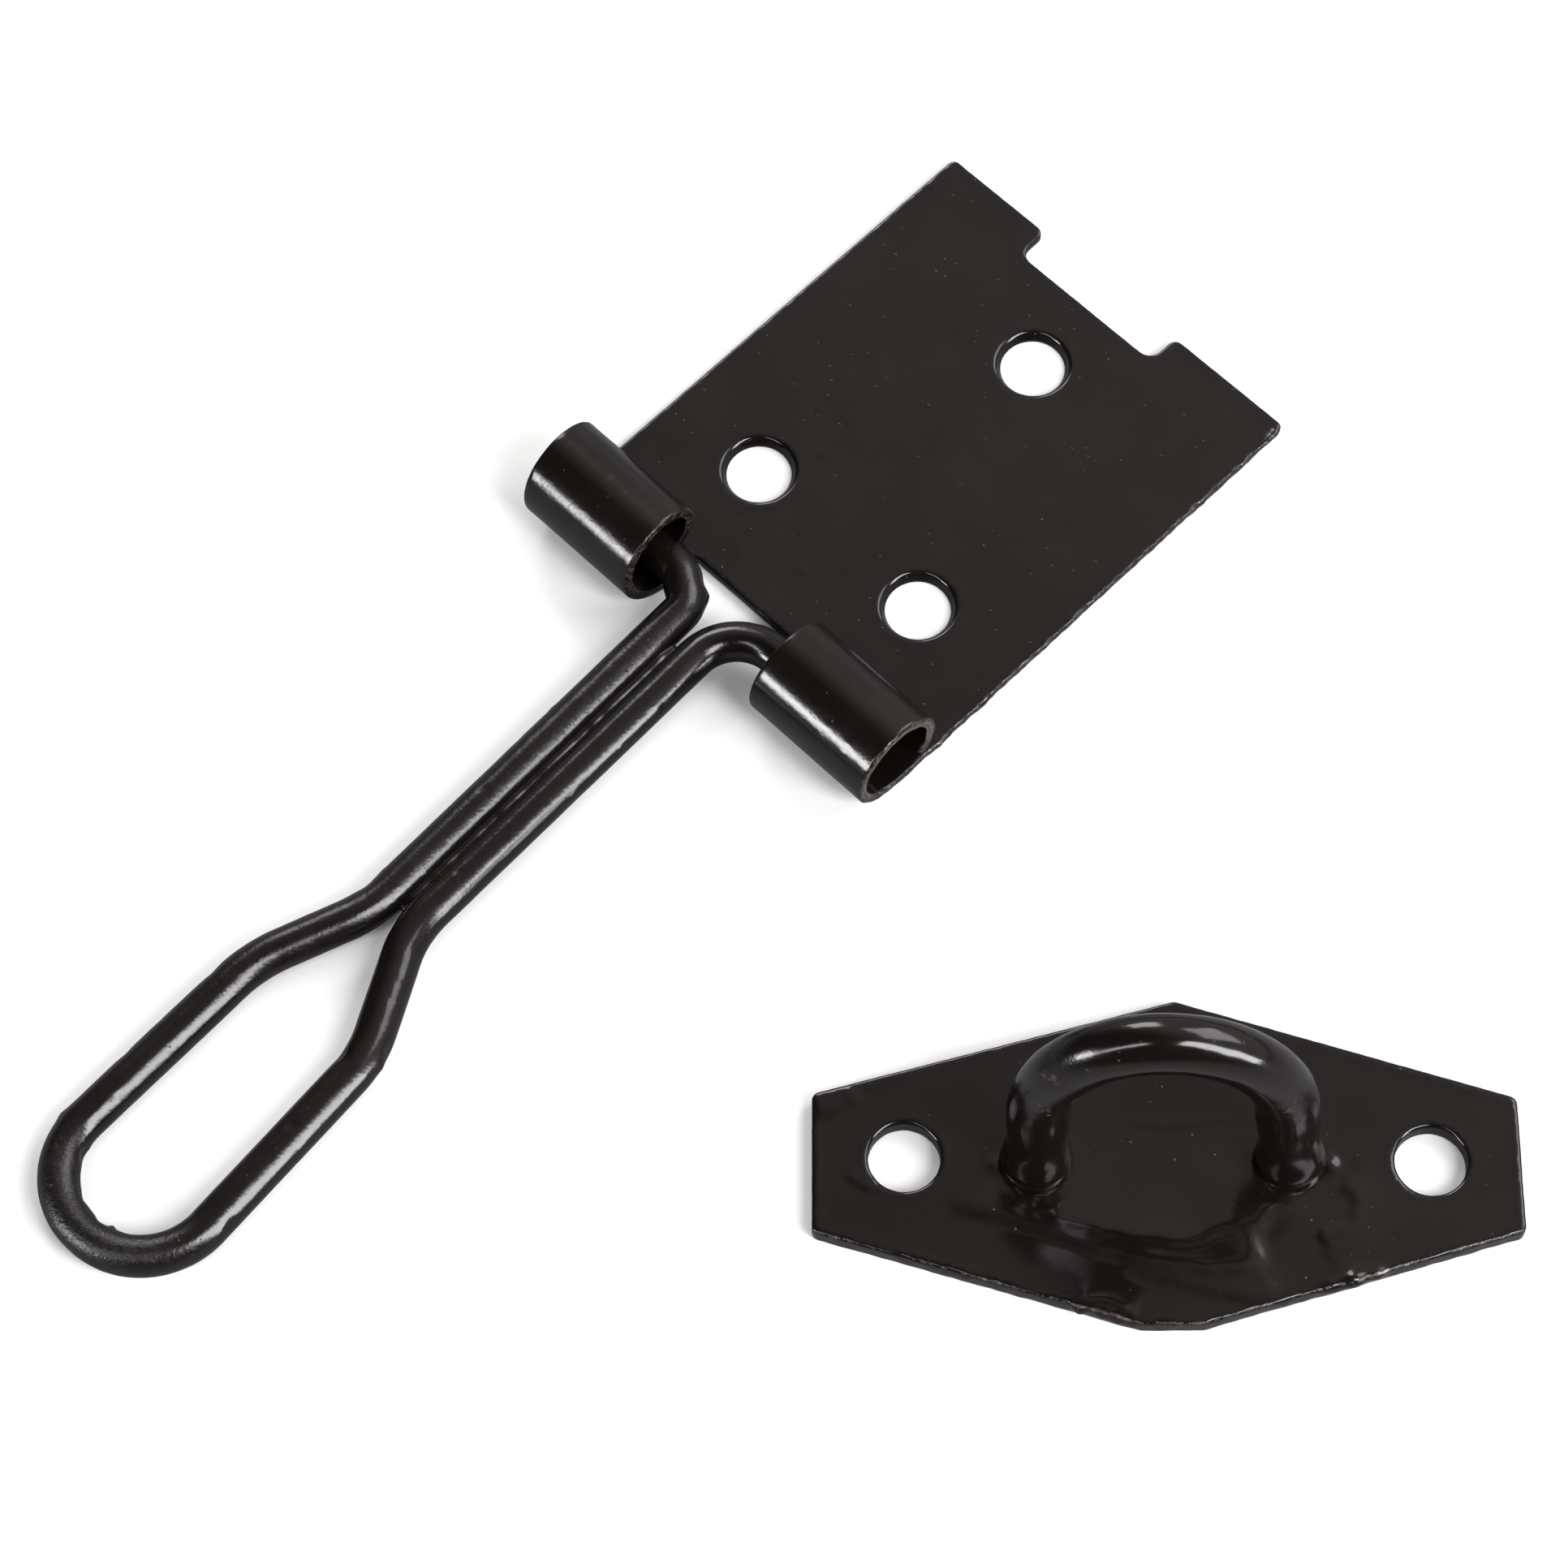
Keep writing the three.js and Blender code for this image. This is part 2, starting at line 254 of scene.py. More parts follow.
def sheet_blank(loops, candidates, thickness, rounding):
    """A flat sheet with rounded edges as vertices, faces and each vertex's data.

    The first loop is the outline and the rest are holes. Data per vertex is its
    side (1 top, -1 back, 0 wall) and its distance in from the nearest edge.
    """
    rings = []
    for k in range(EDGE_RINGS):
        angle = math.radians(90) * k / (EDGE_RINGS - 1)
        inset = rounding * (1 - math.cos(angle))
        rings += [(loop + left_normals(loop) * inset, inset) for loop in loops]
    flat = [ring for ring, _ in rings]
    gaps = [np.full(len(ring), inset) for ring, inset in rings]
    starts = np.cumsum([0] + [len(ring) for ring in flat])
    edges = []
    for start, ring in zip(starts, flat):
        order = start + np.arange(len(ring))
        edges += list(zip(order.tolist(), np.roll(order, -1).tolist()))
    rim = np.vstack(loops)
    kept = inside(candidates, loops[0])
    for hole in loops[1:]:
        kept &= ~inside(candidates, hole)
    inner = candidates[kept]
    gap = nearest(inner, rim)
    clear = gap > rounding + CLEAR_OF_RINGS
    flat = np.vstack(flat + [inner[clear]])
    gap = np.concatenate(gaps + [gap[clear]])
    found = geometry.delaunay_2d_cdt(
        [Vector(p) for p in flat], edges, [], 1, SAME_POINT, False
    )
    spots = np.array([tuple(p) for p in found[0]])
    if len(spots) != len(flat):
        raise ValueError("the sheet's points met each other")
    triangles = np.array(found[2])
    middles = spots[triangles].mean(1)
    solid = np.ones(len(triangles), bool)
    for hole in loops[1:]:
        solid &= ~inside(middles, hole)
    solid &= inside(middles, loops[0])
    a, b, c = (spots[triangles[:, corner]] for corner in range(3))
    doubled = (b - a)[:, 0] * (c - a)[:, 1] - (b - a)[:, 1] * (c - a)[:, 0]
    triangles = triangles[solid & (doubled > SLIVER)]
    count = len(flat)
    into_edge = np.maximum(rounding - gap, 0)
    drop = rounding - np.sqrt(np.maximum(rounding**2 - into_edge**2, 0))
    top = np.column_stack([flat, thickness - drop])
    back = np.column_stack([flat, drop])
    vertices = [top, back]
    sides = [np.ones(count), -np.ones(count)]
    gaps = [gap, gap]
    faces = [tuple(t) for t in triangles.tolist()]
    faces += [(a + count, c + count, b + count) for a, b, c in triangles.tolist()]
    total = 2 * count
    at = 0
    for loop in loops:
        n = len(loop)
        upper = at + np.arange(n)
        for level in range(1, WALL_LEVELS + 1):
            if level < WALL_LEVELS:
                fall = (thickness - 2 * rounding) * level / WALL_LEVELS
                z = thickness - rounding - fall
                vertices.append(np.column_stack([loop, np.full(n, z)]))
                sides.append(np.zeros(n))
                gaps.append(np.zeros(n))
                lower = total + np.arange(n)
                total += n
            else:
                lower = count + at + np.arange(n)
            after_upper, after_lower = np.roll(upper, -1), np.roll(lower, -1)
            quads = np.stack([upper, lower, after_lower, after_upper], 1)
            faces += [tuple(q) for q in quads.tolist()]
            upper = lower
        at += n
    return np.vstack(vertices), faces, np.concatenate(sides), np.concatenate(gaps)


def tube(centres, across, up, radii, sides):
    """A swept wire: radii holds one ring of radii for each centre."""
    angles = np.arange(sides) * 2 * math.pi / sides
    spokes = np.cos(angles)[None, :, None] * across[:, None, :]
    spokes = spokes + np.sin(angles)[None, :, None] * up[:, None, :]
    vertices = (centres[:, None, :] + radii[:, :, None] * spokes).reshape(-1, 3)
    rings = len(centres)
    a = np.arange(rings * sides).reshape(rings, sides)
    after = np.roll(a, -1, 1)
    quads = np.stack([a[:-1], after[:-1], after[1:], a[1:]], -1).reshape(-1, 4)
    faces = [tuple(q) for q in quads.tolist()]
    faces.append(tuple(a[0][::-1].tolist()))
    faces.append(tuple(a[-1].tolist()))
    return vertices, faces


def normals_of(vertices, faces):
    result = np.zeros_like(vertices)
    for size in (3, 4):
        group = np.array([f for f in faces if len(f) == size])
        if len(group) == 0:
            continue
        first = vertices[group[:, 2]] - vertices[group[:, 0]]
        if size == 4:
            second = vertices[group[:, 3]] - vertices[group[:, 1]]
        else:
            second = vertices[group[:, 2]] - vertices[group[:, 1]]
        face = np.cross(first, second)
        for corner in range(size):
            np.add.at(result, group[:, corner], face)
    lengths = np.linalg.norm(result, axis=1)[:, None]
    return result / np.maximum(lengths, 1e-9)


def raise_lumps(vertices, normals, lumps):
    """Moves the surface out by each (place, radius, height), or in by a negative one."""
    offset = np.zeros(len(vertices))
    for place, radius, height in lumps:
        distance = np.linalg.norm(vertices - np.array(place), axis=1)
        offset += height * bell(distance, radius)
    return vertices + normals * offset[:, None]


def make_piece(name, vertices, faces, material, body, marks, nodes=()):
    """Links a piece in, riding on its body in place of the CAD nodes it stands for."""
    mesh = bpy.data.meshes.new(name)
    # Nothing reaches below the surface that the parts lie on.
    vertices[:, 2] = np.maximum(vertices[:, 2], 0)
    mesh.from_pydata((vertices * MM).tolist(), [], faces)
    mesh.polygons.foreach_set("use_smooth", [True] * len(mesh.polygons))
    for mark, values in marks.items():
        attribute = mesh.attributes.new(mark, "FLOAT", "POINT")
        attribute.data.foreach_set("value", np.asarray(values, np.float32))
    mesh.update()
    piece = bpy.data.objects.new(name, mesh)
    bpy.context.scene.collection.objects.link(piece)
    mesh.materials.append(material)
    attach(piece, body)
    if nodes:
        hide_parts(*nodes)


# ---------------------------------------------------------------------------
# Enamel
# ---------------------------------------------------------------------------


class Graph:
    """Shorthand for a material's node tree. Inputs named _0, _1, ... go by their order."""

    def __init__(self, name):
        self.material = bpy.data.materials.new(name)
        self.material.use_nodes = True
        self.tree = self.material.node_tree
        self.tree.nodes.clear()

    def add(self, kind, settings=None, **inputs):
        node = self.tree.nodes.new(kind)
        for key, value in (settings or {}).items():
            setattr(node, key, value)
        for key, value in inputs.items():
            socket = node.inputs[int(key[1:])] if key[0] == "_" else node.inputs[key]
            self.feed(socket, value)
        return node

    def feed(self, socket, value):
        if isinstance(value, bpy.types.NodeSocket):
            self.tree.links.new(value, socket)
        else:
            socket.default_value = value

    def maths(self, operation, a, b, clamp=False):
        settings = {"operation": operation, "use_clamp": clamp}
        return self.add("ShaderNodeMath", settings, _0=a, _1=b).outputs[0]

    def sum(self, a, b):
        return self.maths("ADD", a, b)

    def product(self, a, b):
        return self.maths("MULTIPLY", a, b)

    def ramp(self, value, low, high, start=0.0, end=1.0):
        node = self.add("ShaderNodeMapRange", {"interpolation_type": "SMOOTHSTEP"})
        for socket, number in zip(node.inputs, (value, low, high, start, end)):
            self.feed(socket, number)
        return node.outputs[0]

    def grain(self, where, size, detail=2.0, roughness=0.5):
        """Noise with features about `size` mm across, from 0 to 1."""
        inputs = {"Vector": where, "Scale": 1 / (size * MM), "Detail": detail, "Roughness": roughness}
        return self.add("ShaderNodeTexNoise", **inputs).outputs["Fac"]

    def spots(self, where, apart, radius, soft, channel, share):
        """Round spots in cells `apart` mm across, only some of which hold one."""
        cells = self.add("ShaderNodeTexVoronoi", Vector=where, Scale=1 / (apart * MM))
        chance = self.add("ShaderNodeSeparateColor", _0=cells.outputs["Color"]).outputs[channel]
        within = self.maths("SUBTRACT", radius, cells.outputs["Distance"])
        return self.product(self.ramp(within, 0.0, soft), self.ramp(chance, *share))

    def blend(self, amount, a, b):
        return self.add("ShaderNodeMix", {"data_type": "RGBA"}, _0=amount, _6=a, _7=b).outputs[2]


BLACK = (0.0042, 0.0032, 0.0028, 1)
BROWN_BLACK = (0.0053, 0.0039, 0.0033, 1)
WORN_BROWN = (0.03, 0.019, 0.015, 1)
WORN_STEEL = (0.17, 0.145, 0.13, 1)
GLOSS = 0.12
GLOSS_DRIFT = 0.05
WORN_DULLNESS = 0.3
ROUGH_DULLNESS = 0.2
SPECK_PALENESS = 0.22
BARE_METAL = 0.7
PAINT_IOR = 1.5
BUMP_DEPTH = 0.06
# The share of the clouds over which the colour and the gloss drift
COLOUR_CLOUDS = (0.35, 0.7)
GLOSS_CLOUDS = (0.4, 0.75)
# How much wear breaks the paint and how much bares the steel
BROKEN = {"raggedness": 1.6, "low": 0.62, "high": 0.8}
BARE = {"raggedness": 2.2, "low": 0.95, "high": 1.15}
# How much each kind of relief adds to the bump, as a share of its depth
RELIEF = {"swell": 0.08, "coarse": 0.6, "speck": 0.5, "hole": 3.5, "broken": 0.6}
# The grain that each effect is made from: size in mm, detail and roughness
GRAIN = {
    "cloud": (9.0, 4.0, 0.6),
    "swell": (2.4, 2.0, 0.5),
    "fine": (0.55, 3.0, 0.6),
    "coarse": (0.34, 3.0, 0.6),
}
# Spots: mm apart, radius and soft edge as shares of that, and which random channel
# picks the share that is left out
DUST = {"apart": 1.5, "radius": 0.09, "soft": 0.05, "channel": 0, "share": (0.86, 0.9)}
PIN_HOLES = {"apart": 0.85, "radius": 0.14, "soft": 0.07, "channel": 1, "share": (0.8, 0.84)}


def worn_through(g, wear, fine, raggedness, low, high):
    """Where the paint has gone, with an edge that the fine grain makes ragged."""
    jitter = g.product(g.maths("SUBTRACT", fine, 0.5), raggedness)
    return g.ramp(g.sum(wear, jitter), low, high)


def enamel(name):
    """Dipped black enamel: orange peel, trapped dust, and wear where `wear` says so."""
    g = Graph(name)
    where = g.add("ShaderNodeTexCoord").outputs["Object"]
    wear = g.add("ShaderNodeAttribute", {"attribute_name": "wear"}).outputs["Fac"]
    rough = g.add("ShaderNodeAttribute", {"attribute_name": "rough"}).outputs["Fac"]
    cloud = g.grain(where, *GRAIN["cloud"])
    fine = g.grain(where, *GRAIN["fine"])
    swell = g.grain(where, *GRAIN["swell"])
    coarse = g.product(rough, g.grain(where, *GRAIN["coarse"]))
    speck = g.spots(where, **DUST)
    hole = g.product(g.spots(where, **PIN_HOLES), rough)
    broken = worn_through(g, wear, fine, **BROKEN)
    bare = worn_through(g, wear, fine, **BARE)

    colour = g.blend(g.ramp(cloud, *COLOUR_CLOUDS), BLACK, BROWN_BLACK)
    colour = g.blend(g.product(speck, SPECK_PALENESS), colour, WORN_STEEL)
    colour = g.blend(broken, colour, WORN_BROWN)
    colour = g.blend(bare, colour, WORN_STEEL)

    roughness = g.sum(GLOSS, g.product(g.ramp(cloud, *GLOSS_CLOUDS), GLOSS_DRIFT))
    roughness = g.sum(roughness, g.product(broken, WORN_DULLNESS))
    dulled = g.product(rough, g.product(fine, ROUGH_DULLNESS))
    roughness = g.maths("ADD", roughness, dulled, clamp=True)

    height = g.product(swell, RELIEF["swell"])
    height = g.sum(height, g.product(coarse, RELIEF["coarse"]))
    height = g.sum(height, g.product(speck, RELIEF["speck"]))
    height = g.maths("SUBTRACT", height, g.product(hole, RELIEF["hole"]))
    height = g.sum(height, g.product(g.product(broken, fine), RELIEF["broken"]))
    bump = g.add("ShaderNodeBump", Height=height, Strength=1.0, Distance=BUMP_DEPTH * MM)

    inputs = {
        "Base Color": colour,
        "Roughness": roughness,
        "Normal": bump.outputs[0],
        "Metallic": g.product(bare, BARE_METAL),
        "IOR": PAINT_IOR,
    }
    shader = g.add("ShaderNodeBsdfPrincipled", **inputs)
    g.add("ShaderNodeOutputMaterial", Surface=shader.outputs[0])
    return g.material


# ---------------------------------------------------------------------------
# Hinge plate
# ---------------------------------------------------------------------------

LOOP_STEP = 0.26
EDGE_ROUNDING = 0.24
STRIP_CORNER = 0.4
LEAF_GRID = (0.42, 0.38)
STRIP_GRID = (0.32, 0.4)
STRIP_GRID_SHIFT = 0.1

# Paint that gathers in a bead along sheared edges
BEAD_WIDTH = 0.4
LEAF_BEAD = {"height": 0.014, "inset": 0.45, "size": 1.6, "seed": 1}
PLATE_BEAD = {"height": 0.02, "inset": 0.5, "size": 2.0, "seed": 21}
BACK_PAINT = {"height": 0.012, "size": 5.0}
# Waves in the paint: height, size and seed
LEAF_WAVES = [(0.004, 8.0, 2), (0.0012, 2.5, 3)]
KNUCKLE_WAVES = [(0.012, 4.5, 5)]
# Lumps in the paint: how many, how far each reaches and how far it stands out
EDGE_DROPS = {"count": 26, "reach": (0.2, 0.5), "rise": (0.06, 0.2)}
LEAF_DUST = {"count": 34, "reach": (0.18, 0.32), "rise": (0.02, 0.06)}
KNUCKLE_GRIT = {"count": 70, "reach": (0.14, 0.26), "rises": (-0.06, -0.04, 0.04)}
KNUCKLE_GRIT_TURN = (-95, 20)
# Sheared walls: fine and broad unevenness, and the hole walls' share of it
SHEAR = {"all": 0.02, "low_edge": 0.06, "broad": 0.05, "in_holes": 0.3}
LEAF_WEAR = {"edge": 0.42, "ring": 0.5, "low_edge": 0.4, "knuckle": 0.75, "hole": 0.4}
LEAF_ROUGH = {"leaf": 0.08, "knuckle": 0.35}


def hinge_outline():
    far = plate_high[0]
    gap_x = KNUCKLE_X + GAP["setback"]
    strip_x = KNUCKLE_X - STRIP_LENGTH
    notch_x = far - NOTCH["depth"]
    corners = [
        (far, -LEAF_HALF_WIDTH, LEAF_CORNER),
        (far, NOTCH["low"], NOTCH["lip"]),
        (notch_x, NOTCH["low"], NOTCH["corner"]),
        (notch_x, NOTCH["high"], NOTCH["corner"]),
        (far, NOTCH["high"], NOTCH["lip"]),
        (far, LEAF_HALF_WIDTH, LEAF_CORNER),
        (strip_x, LEAF_HALF_WIDTH, STRIP_CORNER),
        (strip_x, GAP["high"], STRIP_CORNER),
        (gap_x, GAP["high"], GAP["corner"]),
        (gap_x, GAP["low"], GAP["corner"]),
        (strip_x, GAP["low"], STRIP_CORNER),
        (strip_x, -LEAF_HALF_WIDTH, STRIP_CORNER),
    ]
    return resampled(filleted(corners, True), LOOP_STEP, True)


def grid(low, high, step):
    """Points in rows, every other row shifted by half a step."""
    xs = np.arange(low[0], high[0], step[0])
    ys = np.arange(low[1], high[1], step[1])
    x, y = np.meshgrid(xs, ys)
    x = x + (np.arange(len(ys))[:, None] % 2) * step[0] / 2
    return np.stack([x.ravel(), y.ravel()], 1)


def rolled(vertices):
    """Bends the two strips of the blank up and round into knuckles."""
    past = np.maximum(KNUCKLE_X - vertices[:, 0], 0)
    angle = past / SHEET_MIDDLE
    rho = KNUCKLE_RADIUS - vertices[:, 2]
    x = np.where(past > 0, KNUCKLE_X - rho * np.sin(angle), vertices[:, 0])
    z = np.where(past > 0, KNUCKLE_RADIUS - rho * np.cos(angle), vertices[:, 2])
    y = vertices[:, 1] + np.where(vertices[:, 1] > 0, past * STRIP_SKEW, 0)
    return np.column_stack([x, y, z])


def hinge_blank():
    """The plate before its knuckles are rolled."""
    holes = [circle(at, LEAF_HOLE_RADIUS, LOOP_STEP) for at in LEAF_HOLES]
    leaf = grid((KNUCKLE_X, -LEAF_HALF_WIDTH), (plate_high[0], LEAF_HALF_WIDTH), LEAF_GRID)
    strips_low = (KNUCKLE_X - STRIP_LENGTH - STRIP_GRID_SHIFT, -LEAF_HALF_WIDTH)
    strips_high = (KNUCKLE_X - STRIP_GRID_SHIFT, LEAF_HALF_WIDTH)
    strips = grid(strips_low, strips_high, STRIP_GRID)
    candidates = np.vstack([leaf, strips])
    return sheet_blank([hinge_outline()] + holes, candidates, leaf_top, EDGE_ROUNDING)


def taper_holes(vertices, flat):
    """Narrows the holes downwards, where the punch drew metal in and paint thickened it."""
    depth = 1 - flat[:, 2] / leaf_top
    for hole in LEAF_HOLES:
        spoke = flat[:, :2] - np.array(hole)
        distance = np.linalg.norm(spoke, axis=1)
        around = bell(distance - LEAF_HOLE_RADIUS, 0.9) * (distance < LEAF_HOLE_RADIUS + 2)
        pull = HOLE_TAPER * depth * around
        vertices[:, :2] -= spoke / distance[:, None] * pull[:, None]


def edge_bead(flat, gap, height, inset, size, seed):
    """How high the paint's bead stands at each vertex."""
    return height * bell(gap - inset, BEAD_WIDTH) * (1 + ripple(flat, size, seed))


def back_paint(flat, seed):
    """How thick the uneven paint on a plate's back is."""
    return BACK_PAINT["height"] * (1 + ripple(flat, BACK_PAINT["size"], seed))


def hinge_lumps():
    """Drops on the sheared -Y edge, dust on the leaf, and grit on the knuckles."""
    lumps = []
    for _ in range(EDGE_DROPS["count"]):
        x = random.uniform(KNUCKLE_X + 1, plate_high[0] - 1)
        place = (x, -LEAF_HALF_WIDTH, random.uniform(0.3, 1.0))
        reach = random.uniform(*EDGE_DROPS["reach"])
        lumps.append((place, reach, random.uniform(*EDGE_DROPS["rise"])))
    for _ in range(LEAF_DUST["count"]):
        place = (random.uniform(KNUCKLE_X + 3, 26), random.uniform(-20, 20), leaf_top)
        reach = random.uniform(*LEAF_DUST["reach"])
        lumps.append((place, reach, random.uniform(*LEAF_DUST["rise"])))
    for _ in range(KNUCKLE_GRIT["count"]):
        turn = math.radians(random.uniform(*KNUCKLE_GRIT_TURN))
        knuckle = random.choice(((-21.5, GAP["low"] - 1), (GAP["high"] + 1, 22)))
        x = KNUCKLE_X + KNUCKLE_RADIUS * math.sin(turn)
        z = KNUCKLE_RADIUS + KNUCKLE_RADIUS * math.cos(turn)
        place = (x, random.uniform(*knuckle), z)
        reach = random.uniform(*KNUCKLE_GRIT["reach"])
        lumps.append((place, reach, random.choice(KNUCKLE_GRIT["rises"])))
    return lumps


def make_hinge_plate(material):
    vertices, faces, sides, gap = hinge_blank()
    flat = vertices.copy()
    taper_holes(vertices, flat)
    past = np.maximum(KNUCKLE_X - flat[:, 0], 0)
    on_knuckle = smooth(1.5, 4.0, past)
    bead = edge_bead(flat, gap, **LEAF_BEAD)
    vertices[:, 2] += np.where(sides > 0, bead + relief(flat, LEAF_WAVES), 0)
    vertices[:, 2] += np.where(sides < 0, back_paint(flat, 4) * (1 - on_knuckle), 0)
    knuckle_paint = on_knuckle * (relief(flat, KNUCKLE_WAVES) + bead)
    vertices[:, 2] -= np.where(sides < 0, knuckle_paint, 0)
    vertices = rolled(vertices)
    normals = normals_of(vertices, faces)

    # Sheared walls are uneven, most of all down the long -Y edge.
    wall = (gap < EDGE_ROUNDING * 0.7).astype(float)
    low_edge = smooth(-21.8, -22.4, flat[:, 1])
    from_hole = np.min([np.hypot(flat[:, 0] - x, flat[:, 1] - y) for x, y in LEAF_HOLES], 0)
    cut = np.where(from_hole < LEAF_HOLE_RADIUS + 0.3, SHEAR["in_holes"], 1.0)
    fine = cut * (SHEAR["all"] + SHEAR["low_edge"] * low_edge)
    ragged = fine * wall * ripple(flat, 0.9, 6)
    ragged += SHEAR["broad"] * wall * ripple(flat, 3.0, 7) * low_edge
    vertices = raise_lumps(vertices + normals * ragged[:, None], normals, hinge_lumps())

    near_edge = bell(gap - 0.06, 0.11)
    end_ring = smooth(3, 6, past) * (1 - smooth(STRIP_LENGTH - 3, STRIP_LENGTH, past))
    hole_rim = bell(from_hole - LEAF_HOLE_RADIUS, 0.35) * (sides > 0)
    edge_wear = LEAF_WEAR["edge"] + LEAF_WEAR["ring"] * end_ring + LEAF_WEAR["low_edge"] * low_edge
    wear = near_edge * edge_wear * (sides >= 0)
    wear = np.maximum(wear, near_edge * end_ring * LEAF_WEAR["knuckle"])
    wear = np.maximum(wear, hole_rim * LEAF_WEAR["hole"])
    rough = on_knuckle * LEAF_ROUGH["knuckle"] + LEAF_ROUGH["leaf"]
    make_piece(
        "hinge_plate_skin",
        vertices,
        faces,
        material,
        body="hinge_plate",
        marks={"wear": wear, "rough": rough},
        nodes=["hinge_plate"],
    )


# ---------------------------------------------------------------------------
# Hasp
# ---------------------------------------------------------------------------

WIRE_SIDES = 56
WIRE_STEP = 0.3
WIRE_WAVES = [(0.022, 4.2, 11), (0.01, 1.1, 12)]
WIRE_GRIT = {"count": 90, "reach": (0.25, 0.5), "rise": (0.02, 0.07)}
WIRE_ROUGH = {"all": 0.42, "upper_leg": 0.4, "loop_end": 1.6}
# Both cut ends are closed by small extra rings: how far in, and how much smaller.
CUT_END = [(0.0, 0.3), (0.03, 0.14), (0.1, 0.05), (0.22, 0.01)]


def hasp_frame(spots):
    """Points of the hasp's own plane (reach, y, height) in the CAD frame."""
    reach, y, height = spots[:, 0], spots[:, 1], spots[:, 2]
    x = axis_at[0] - reach * math.cos(WIRE_TILT) - height * math.sin(WIRE_TILT)
    z = axis_at[2] - reach * math.sin(WIRE_TILT) + height * math.cos(WIRE_TILT)
    return np.column_stack([x, y, z])


# Burrs, dents and paint drops on the wire: place as (reach, y, height) in the
# hasp's own plane, how far each reaches, and how far it stands out.
WIRE_MARKS = [
    ((0.1, 3.6, -0.2), 0.75, 0.34),
    ((0.3, 2.6, -0.6), 0.4, 0.42),
    ((-1.6, 5.6, 0.0), 0.9, 0.14),
    ((57.2, -6.9, 1.0), 0.7, -0.2),
    ((55.4, -9.6, 0.2), 0.5, 0.2),
    ((53.8, -8.9, 0.4), 0.5, -0.18),
    ((44.0, 4.4, 0.6), 0.9, -0.12),
    ((45.6, -3.9, 0.8), 0.8, -0.14),
    ((80.1, 3.6, 0.1), 0.7, -0.34),
    ((83.2, 0.5, 0.1), 0.6, -0.3),
    ((83.5, -2.6, 0.1), 0.7, -0.34),
    ((83.1, -3.7, 0.1), 0.35, 0.3),
    ((81.9, -5.2, 0.1), 0.6, -0.26),
    ((86.9, -0.2, 0.8), 0.4, 0.12),
    ((74.6, 5.3, 1.2), 0.4, -0.26),
    ((79.0, 8.0, 0.6), 0.6, 0.22),
    ((81.5, 8.1, 0.2), 0.5, 0.2),
    ((71.0, 8.2, 0.6), 0.6, -0.1),
    ((60.0, 8.3, 0.4), 0.9, -0.12),
    ((11.5, -2.3, 0.9), 0.28, -0.09),
    ((16.8, -2.6, 0.6), 0.28, -0.1),
    ((17.5, -2.7, 0.9), 0.28, 0.08),
    ((24.0, -2.9, 0.7), 0.35, 0.1),
    ((66.0, -11.2, 1.2), 0.6, 0.14),
    ((75.5, -11.6, 0.9), 0.6, -0.14),
]

WEB = {"start": 6.0, "end": 43.4, "level": 0.78, "shift": 0.1, "step": 0.4, "rough": 0.3}
WEB_WAVES = [(0.1, 4.0, 51), (0.05, 1.3, 52)]
# The web's section: across the groove, and height as a share of its level. It
# dips in the middle and its edges are buried in the wires.
WEB_SECTION = [
    (0.62, 1.0),
    (0.40, 0.93),
    (0.18, 0.86),
    (0.0, 0.84),
    (-0.18, 0.86),
    (-0.40, 0.93),
    (-0.62, 1.0),
    (-0.62, -1.0),
    (-0.30, -0.88),
    (0.0, -0.84),
    (0.30, -0.88),
    (0.62, -1.0),
]


def leg_at(reaches, start, end):
    """How far along Y a straight leg's middle lies at each reach."""
    share = (reaches - start[0]) / (end[0] - start[0])
    return start[1] + (end[1] - start[1]) * share


def make_paint_web(material):
    """Paint that has filled the groove between the two legs, above and below."""
    reaches = np.arange(WEB["start"], WEB["end"], WEB["step"])
    high = leg_at(reaches, HASP_PATH[2], HASP_PATH[3])
    low = leg_at(reaches, HASP_PATH[9], HASP_PATH[8])
    middle = (high + low) / 2 + WEB["shift"]
    share = (reaches - reaches[0]) / (reaches[-1] - reaches[0])
    ends = smooth(0, 0.06, share) * smooth(0, 0.04, 1 - share)
    spots = np.column_stack([reaches, middle, np.zeros(len(reaches))])
    level = (WEB["level"] + relief(spots, WEB_WAVES)) * (0.3 + 0.7 * ends)
    rings = []
    for across, rise in WEB_SECTION:
        side = middle + across * (0.5 + 0.5 * ends)
        rings.append(np.column_stack([reaches, side, level * rise]))
    vertices = np.stack(rings, 1).reshape(-1, 3)
    a = np.arange(len(vertices)).reshape(len(reaches), len(WEB_SECTION))
    after = np.roll(a, -1, 1)
    quads = np.stack([a[:-1], a[1:], after[1:], after[:-1]], -1).reshape(-1, 4)
    faces = [tuple(q) for q in quads.tolist()]
    faces += [tuple(a[0].tolist()), tuple(a[-1][::-1].tolist())]
    make_piece(
        "wire_paint_web",
        hasp_frame(vertices),
        faces,
        material,
        body="hasp",
        marks={"rough": np.full(len(vertices), WEB["rough"])},
    )


